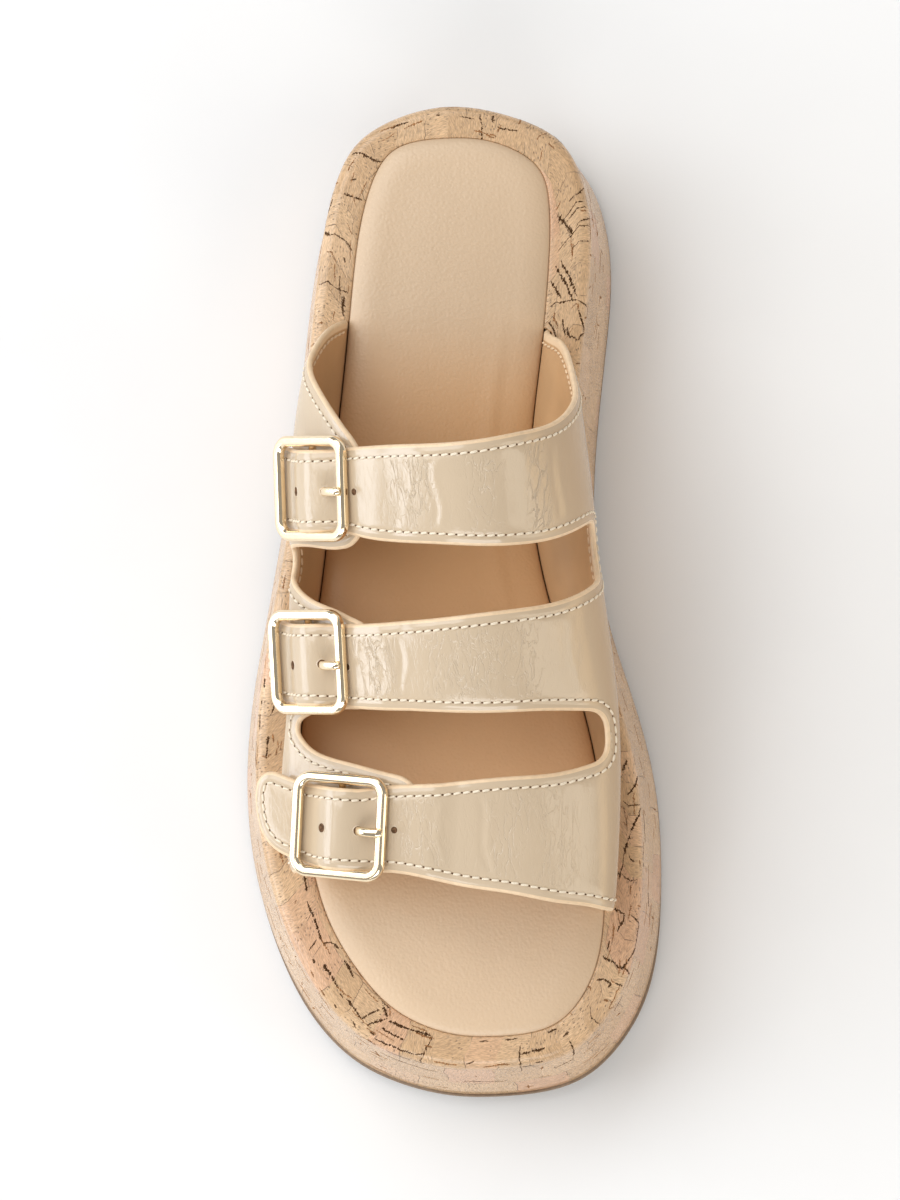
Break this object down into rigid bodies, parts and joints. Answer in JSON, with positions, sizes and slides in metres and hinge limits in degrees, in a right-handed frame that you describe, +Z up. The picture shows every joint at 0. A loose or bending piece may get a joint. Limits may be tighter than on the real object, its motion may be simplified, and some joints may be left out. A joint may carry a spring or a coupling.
{
  "type": "buckle sandal",
  "caption": "Open slide sandal for the right foot: thick cork-covered platform, padded footbed, and a patent upper of wide straps closed by square buckles on the outer side.",
  "frame": {"origin": "centre of the bounding box on the plane that the sole stands on", "axes": "+X to the inner side of the foot, +Y to the heel, +Z up"},
  "size_m": [0.1119, 0.2696, 0.1029],
  "materials": {
    "outsole": "matte moulded rubber",
    "platform": "satin cover printed as cork, over foam",
    "insole": "smooth, fine grain, slight sheen",
    "upper": "crinkled patent, glossy",
    "buckle": "polished pale gold plate"
  },
  "bodies": {
    "root": {"outsole": "outsole", "platform": "platform", "insole": "insole", "upper": "upper", "buckle_frame_rear": "buckle", "buckle_frame_middle": "buckle", "buckle_frame_front": "buckle", "buckle_prong_rear": "buckle", "buckle_prong_middle": "buckle", "buckle_prong_front": "buckle"}
  },
  "joints": []
}
